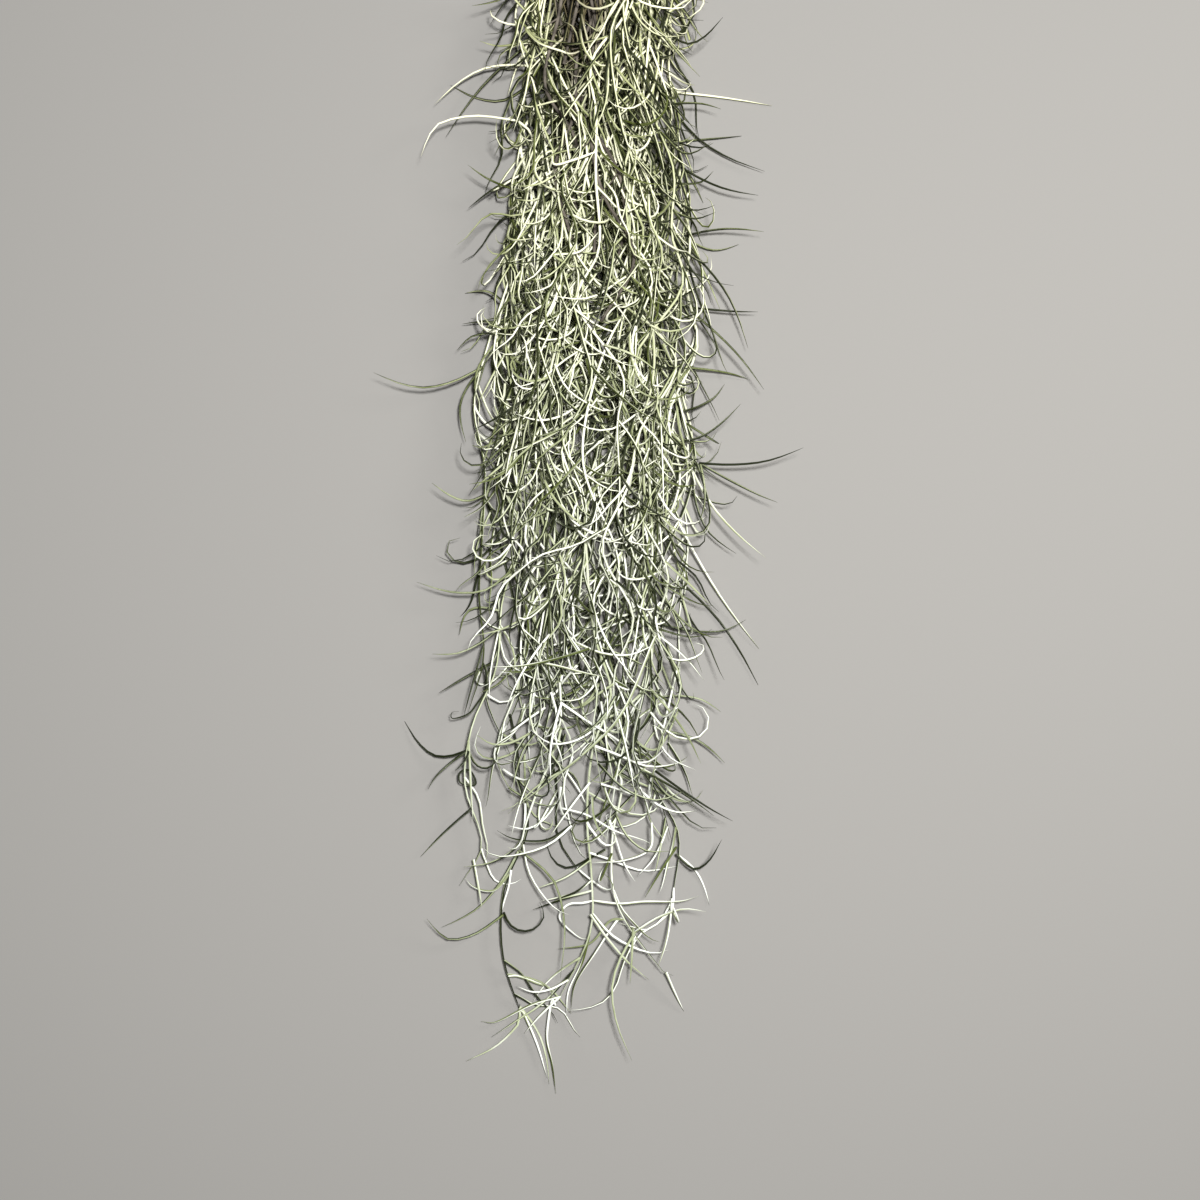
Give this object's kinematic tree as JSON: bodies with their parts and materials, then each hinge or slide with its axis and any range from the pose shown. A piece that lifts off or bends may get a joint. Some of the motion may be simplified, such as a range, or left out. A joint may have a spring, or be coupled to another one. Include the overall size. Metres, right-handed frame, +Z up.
{
  "type": "spanish moss bunch",
  "caption": "Long loose bunch of thread-like grey-green leafy strands with curled needle leaves and a few bare dark stems inside, lying on its side.",
  "frame": {"origin": "under the middle of the bunch's bounding box, on the surface it lies on", "axes": "+Y along the bunch from the tips towards the head, +Z up from the surface, +X to the right seen from above with the head at the far end"},
  "size_m": [0.215, 0.59, 0.0531],
  "materials": {
    "moss": "grey-green, matt, with fine silvery scales",
    "old_stem": "dark grey brown, bare and matt"
  },
  "bodies": {
    "root": {"strand_01": "moss", "strand_02": "moss", "strand_03": "moss", "strand_04": "moss", "strand_05": "moss", "strand_06": "moss", "strand_07": "moss", "strand_08": "moss", "strand_09": "moss", "strand_10": "moss", "strand_11": "moss", "strand_12": "moss", "strand_13": "moss", "strand_14": "moss", "strand_15": "moss", "strand_16": "moss", "strand_17": "moss", "strand_18": "moss", "strand_19": "moss", "strand_20": "moss", "strand_21": "moss", "strand_22": "moss", "strand_23": "moss", "strand_24": "moss", "strand_25": "moss", "strand_26": "moss", "strand_27": "moss", "strand_28": "moss", "strand_29": "moss", "strand_30": "moss", "strand_31": "moss", "strand_32": "moss", "strand_33": "moss", "strand_34": "moss", "strand_35": "moss", "strand_36": "moss", "strand_37": "moss", "strand_38": "moss", "strand_39": "moss", "strand_40": "moss", "strand_41": "moss", "strand_42": "moss", "strand_43": "moss", "strand_44": "moss", "strand_45": "moss", "strand_46": "moss", "old_stem_1": "old_stem", "old_stem_2": "old_stem", "old_stem_3": "old_stem", "old_stem_4": "old_stem", "old_stem_5": "old_stem", "old_stem_6": "old_stem"}
  },
  "joints": []
}
